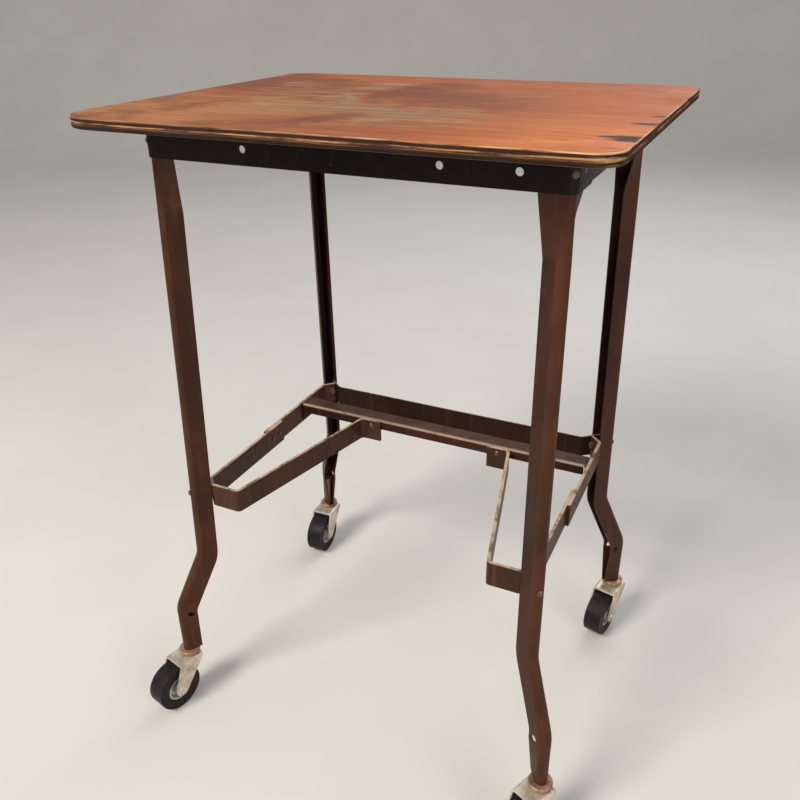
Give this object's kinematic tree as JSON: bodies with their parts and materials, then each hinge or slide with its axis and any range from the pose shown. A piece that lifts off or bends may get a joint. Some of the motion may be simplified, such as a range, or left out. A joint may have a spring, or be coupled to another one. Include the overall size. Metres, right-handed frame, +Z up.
{
  "type": "typewriter stand",
  "caption": "Wheeled typing stand: round-cornered plywood top on a steel apron, splayed channel legs, a rear rail and ledge between looped side braces, and swivel casters.",
  "frame": {"origin": "on the floor, under the middle of the overall box (casters as stored)", "axes": "+Z up, +Y towards the rear rail, +X to the right seen from the front"},
  "size_m": [0.4636, 0.4008, 0.6604],
  "materials": {
    "board_wood": "worn stained veneer",
    "frame_enamel": "worn dark brown baked enamel",
    "fastener_steel": "dull, partly painted steel",
    "plated_steel": "dull zinc plate with rust",
    "hub_steel": "dull pressed disc",
    "tyre_rubber": "smooth black rubber"
  },
  "bodies": {
    "frame": {"top_board": "board_wood", "front_apron": "frame_enamel", "rear_apron": "frame_enamel", "side_apron_left": "frame_enamel", "side_apron_right": "frame_enamel", "leg_front_left": "frame_enamel", "leg_front_right": "frame_enamel", "leg_rear_left": "frame_enamel", "leg_rear_right": "frame_enamel", "rear_rail": "frame_enamel", "ledge_rail": "frame_enamel", "front_brace_left": "frame_enamel", "front_brace_right": "frame_enamel", "rear_bar_left": "frame_enamel", "rear_bar_right": "frame_enamel", "apron_rivets": "fastener_steel", "board_screws": "fastener_steel", "brace_bolts": "fastener_steel", "brace_nuts": "fastener_steel", "brace_spacers": "fastener_steel", "lap_rivets": "fastener_steel", "rail_rivets": "fastener_steel", "caster_front_left_socket": "fastener_steel", "caster_front_left_stem": "plated_steel", "caster_front_left_cup": "plated_steel", "caster_front_right_socket": "fastener_steel", "caster_front_right_stem": "plated_steel", "caster_front_right_cup": "plated_steel", "caster_rear_left_socket": "fastener_steel", "caster_rear_left_stem": "plated_steel", "caster_rear_left_cup": "plated_steel", "caster_rear_right_socket": "fastener_steel", "caster_rear_right_stem": "plated_steel", "caster_rear_right_cup": "plated_steel"},
    "swivel_front_left": {"caster_front_left_fork": "plated_steel", "caster_front_left_race": "plated_steel", "caster_front_left_balls": "plated_steel", "caster_front_left_axle": "plated_steel"},
    "wheel_front_left": {"caster_front_left_wheel_hub": "hub_steel", "caster_front_left_tyre": "tyre_rubber"},
    "swivel_front_right": {"caster_front_right_fork": "plated_steel", "caster_front_right_race": "plated_steel", "caster_front_right_balls": "plated_steel", "caster_front_right_axle": "plated_steel"},
    "wheel_front_right": {"caster_front_right_wheel_hub": "hub_steel", "caster_front_right_tyre": "tyre_rubber"},
    "swivel_rear_left": {"caster_rear_left_fork": "plated_steel", "caster_rear_left_race": "plated_steel", "caster_rear_left_balls": "plated_steel", "caster_rear_left_axle": "plated_steel"},
    "wheel_rear_left": {"caster_rear_left_wheel_hub": "hub_steel", "caster_rear_left_tyre": "tyre_rubber"},
    "swivel_rear_right": {"caster_rear_right_fork": "plated_steel", "caster_rear_right_race": "plated_steel", "caster_rear_right_balls": "plated_steel", "caster_rear_right_axle": "plated_steel"},
    "wheel_rear_right": {"caster_rear_right_wheel_hub": "hub_steel", "caster_rear_right_tyre": "tyre_rubber"}
  },
  "joints": [
    {"name": "swivel_front_left", "type": "hinge", "parent": "frame", "child": "swivel_front_left", "pos_m": [-0.20876, -0.14548, 0.06], "axis": [0, 0, 1], "continuous": true},
    {"name": "roll_front_left", "type": "hinge", "parent": "swivel_front_left", "child": "wheel_front_left", "pos_m": [-0.2152, -0.1717, 0.027], "axis": [0.9711, -0.2385, 0], "continuous": true},
    {"name": "swivel_front_right", "type": "hinge", "parent": "frame", "child": "swivel_front_right", "pos_m": [0.21524, -0.14548, 0.06], "axis": [0, 0, 1], "continuous": true},
    {"name": "roll_front_right", "type": "hinge", "parent": "swivel_front_right", "child": "wheel_front_right", "pos_m": [0.20426, -0.17014, 0.027], "axis": [0.9135, -0.4067, 0], "continuous": true},
    {"name": "swivel_rear_left", "type": "hinge", "parent": "frame", "child": "swivel_rear_left", "pos_m": [-0.20876, 0.18232, 0.06], "axis": [0, 0, 1], "continuous": true},
    {"name": "roll_rear_left", "type": "hinge", "parent": "swivel_rear_left", "child": "wheel_rear_left", "pos_m": [-0.20735, 0.15536, 0.027], "axis": [0.9986, 0.0523, 0], "continuous": true},
    {"name": "swivel_rear_right", "type": "hinge", "parent": "frame", "child": "swivel_rear_right", "pos_m": [0.21524, 0.18232, 0.06], "axis": [0, 0, 1], "continuous": true},
    {"name": "roll_rear_right", "type": "hinge", "parent": "swivel_rear_right", "child": "wheel_rear_right", "pos_m": [0.20916, 0.15601, 0.027], "axis": [0.9744, -0.225, 0], "continuous": true}
  ]
}
